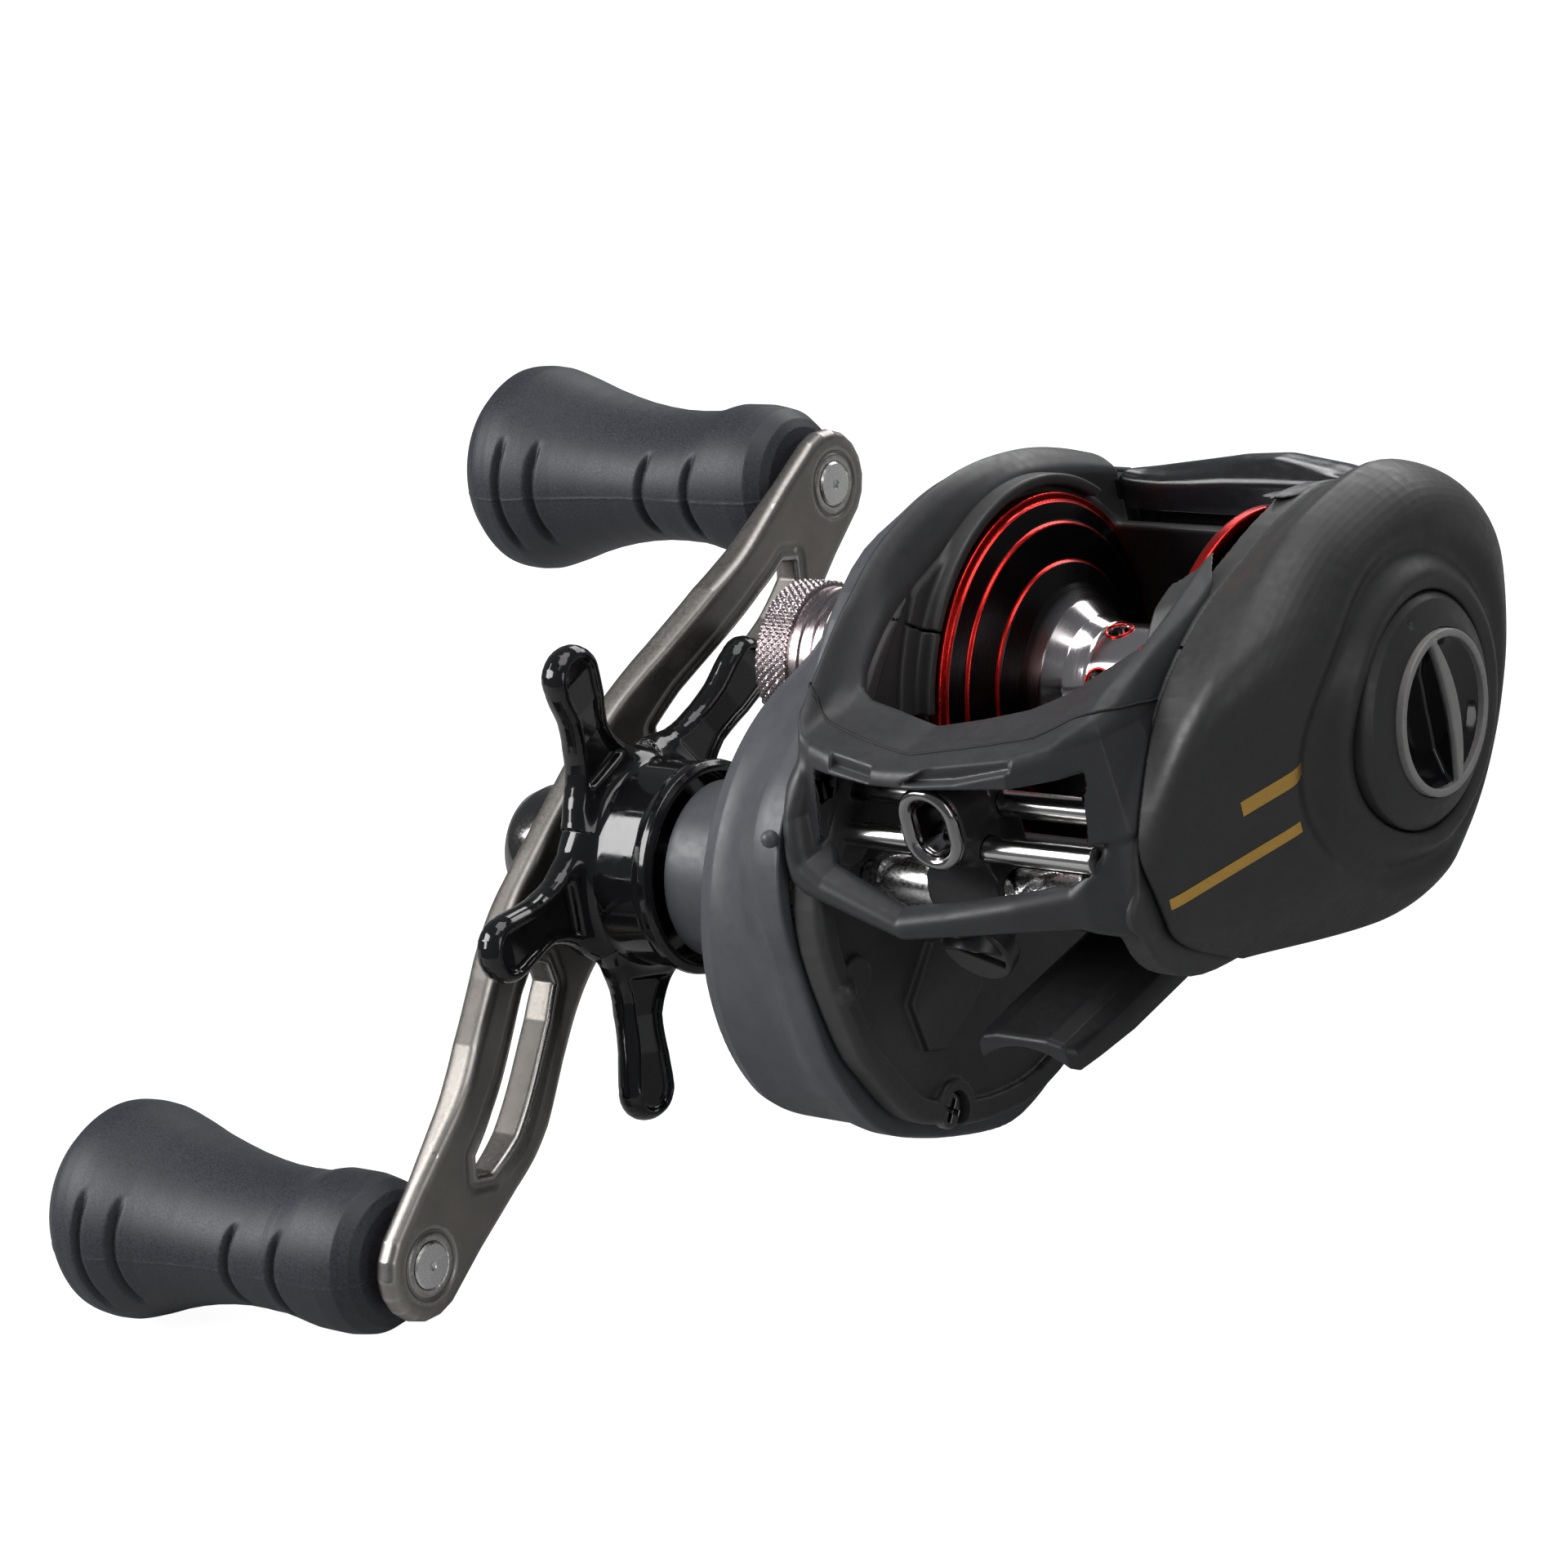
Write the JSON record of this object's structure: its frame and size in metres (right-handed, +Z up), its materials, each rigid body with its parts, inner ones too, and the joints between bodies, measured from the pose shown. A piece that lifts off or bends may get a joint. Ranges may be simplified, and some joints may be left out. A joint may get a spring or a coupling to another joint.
{
  "type": "low-profile baitcasting fishing reel",
  "caption": "Low-profile casting reel with twin-grip crank, star drag, level-wind guide, thumb bar, tension knob and side brake dial on a saddle foot.",
  "frame": {"origin": "centre of the spool, on its axle, midway between the flanges", "axes": "X along the spool axle with the crank on -X and the brake dial on +X; -Y to the front where the line leaves; +Z up, away from the rod"},
  "size_m": [0.1436, 0.1162, 0.076],
  "materials": {
    "frame_black": "satin moulded black, slightly warm",
    "case_black": "satin cool grey-black",
    "foot_black": "satin black",
    "screw_steel": "machined steel",
    "spool_dark": "polished dark anodised with bright red rings",
    "steel": "ground and polished steel",
    "bronze": "machined bronze",
    "knob_metal": "pinkish gunmetal anodised, diamond knurl",
    "nylon": "natural nylon",
    "carbon": "woven carbon drag washer",
    "gloss_black": "polished black",
    "arm_gunmetal": "brushed warm gunmetal with bright bevels",
    "grip_rubber": "fine-grained soft-touch rubber",
    "thumb_black": "smooth satin-gloss black",
    "guide_black": "moulded black",
    "guide_ring": "polished dark ring",
    "magnet": "plated magnet"
  },
  "bodies": {
    "body": {"main_frame": "frame_black", "front_cover": "frame_black", "gear_cover": "case_black", "palm_cover": "frame_black", "reel_foot": "foot_black", "foot_screws": "screw_steel", "case_screws": "screw_steel", "crank_end_bearing": "steel", "palm_end_bearing": "steel", "yoke_posts": "steel", "drive_inner_bearing": "steel", "drive_outer_bearing": "steel", "roller_clutch": "steel", "worm_bushing": "bronze", "guide_rods": "steel", "dial_bezel": "frame_black"},
    "crank": {"drive_shaft": "steel", "ratchet_wheel": "steel", "level_drive_gear": "nylon", "main_gear": "bronze", "drag_washers": "carbon", "roller_sleeve": "steel", "spring_washers": "steel", "crank_arm": "arm_gunmetal", "crank_nut": "steel", "nut_cap": "gloss_black", "knob_spindles": "steel", "knob_bushings": "guide_black"},
    "star": {"star_wheel": "gloss_black"},
    "grip_a": {"knob_a": "grip_rubber"},
    "grip_b": {"knob_b": "grip_rubber"},
    "spool_unit": {"spool": "spool_dark", "spool_shaft": "steel", "spool_pin": "steel"},
    "yoke": {"clutch_yoke": "steel"},
    "pinion": {"pinion_gear": "bronze"},
    "cam": {"clutch_cam": "guide_black"},
    "thumb": {"thumb_bar": "thumb_black"},
    "worm": {"worm_shaft": "steel", "worm_gear": "nylon"},
    "guide": {"line_guide": "guide_black", "guide_insert": "guide_ring", "pawl_cap": "guide_black"},
    "pawl": {"worm_pawl": "bronze"},
    "tension": {"tension_knob": "knob_metal", "tension_shim": "bronze"},
    "dial": {"brake_dial": "gloss_black"},
    "brake": {"magnet_holder": "guide_black", "brake_magnets": "magnet"}
  },
  "joints": [
    {"name": "crank_spin", "type": "hinge", "parent": "body", "child": "crank", "pos_m": [-0.04, -0.0145, -0.01837], "axis": [1, 0, 0], "continuous": true},
    {"name": "star_turn", "type": "hinge", "parent": "crank", "child": "star", "pos_m": [-0.058, -0.0145, -0.01837], "axis": [1, 0, 0], "range_deg": [-180, 180]},
    {"name": "grip_a_spin", "type": "hinge", "parent": "crank", "child": "grip_a", "pos_m": [-0.08, 0.03162, 0.00433], "axis": [1, 0, 0], "continuous": true},
    {"name": "grip_b_spin", "type": "hinge", "parent": "crank", "child": "grip_b", "pos_m": [-0.08, -0.06062, -0.04106], "axis": [1, 0, 0], "continuous": true},
    {"name": "spool_spin", "type": "hinge", "parent": "body", "child": "spool_unit", "pos_m": [0, 0, 0], "axis": [1, 0, 0], "continuous": true},
    {"name": "thumb_press", "type": "slide", "parent": "body", "child": "thumb", "axis": [0, 0, -1], "range_m": [0, 0.0035], "stiffness_N_per_m": 200},
    {"name": "yoke_shift", "type": "slide", "parent": "body", "child": "yoke", "axis": [-1, 0, 0], "range_m": [0, 0.0014]},
    {"name": "pinion_spin", "type": "hinge", "parent": "yoke", "child": "pinion", "pos_m": [-0.025, 0, 0], "axis": [1, 0, 0], "continuous": true},
    {"name": "cam_turn", "type": "hinge", "parent": "body", "child": "cam", "pos_m": [-0.019, 0, 0], "axis": [1, 0, 0], "range_deg": [0, 25]},
    {"name": "worm_spin", "type": "hinge", "parent": "body", "child": "worm", "pos_m": [0, -0.0316, -0.00575], "axis": [1, 0, 0], "continuous": true},
    {"name": "guide_travel", "type": "slide", "parent": "body", "child": "guide", "axis": [1, 0, 0], "range_m": [-0.0075, 0.0115]},
    {"name": "pawl_swivel", "type": "hinge", "parent": "guide", "child": "pawl", "pos_m": [-0.0023, -0.0316, -0.00575], "axis": [0, -0.342, -0.9397], "range_deg": [-25, 25]},
    {"name": "tension_turn", "type": "hinge", "parent": "body", "child": "tension", "pos_m": [-0.04, 0, 0], "axis": [1, 0, 0], "range_deg": [-180, 180]},
    {"name": "dial_turn", "type": "hinge", "parent": "body", "child": "dial", "pos_m": [0.03, 0, 0], "axis": [1, 0, 0], "range_deg": [0, 150]},
    {"name": "brake_shift", "type": "slide", "parent": "body", "child": "brake", "axis": [-1, 0, 0], "range_m": [0, 0.0015]}
  ],
  "couplings": [
    {"joint": "spool_spin", "follows": "crank_spin", "ratio": -6.2},
    {"joint": "pinion_spin", "follows": "crank_spin", "ratio": -6.2},
    {"joint": "worm_spin", "follows": "crank_spin", "ratio": -1.5758},
    {"joint": "yoke_shift", "follows": "thumb_press", "ratio": 0.4},
    {"joint": "cam_turn", "follows": "thumb_press", "rad_per_m": 124.66},
    {"joint": "dial_turn", "follows": "brake_shift", "rad_per_m": 1745.3}
  ]
}
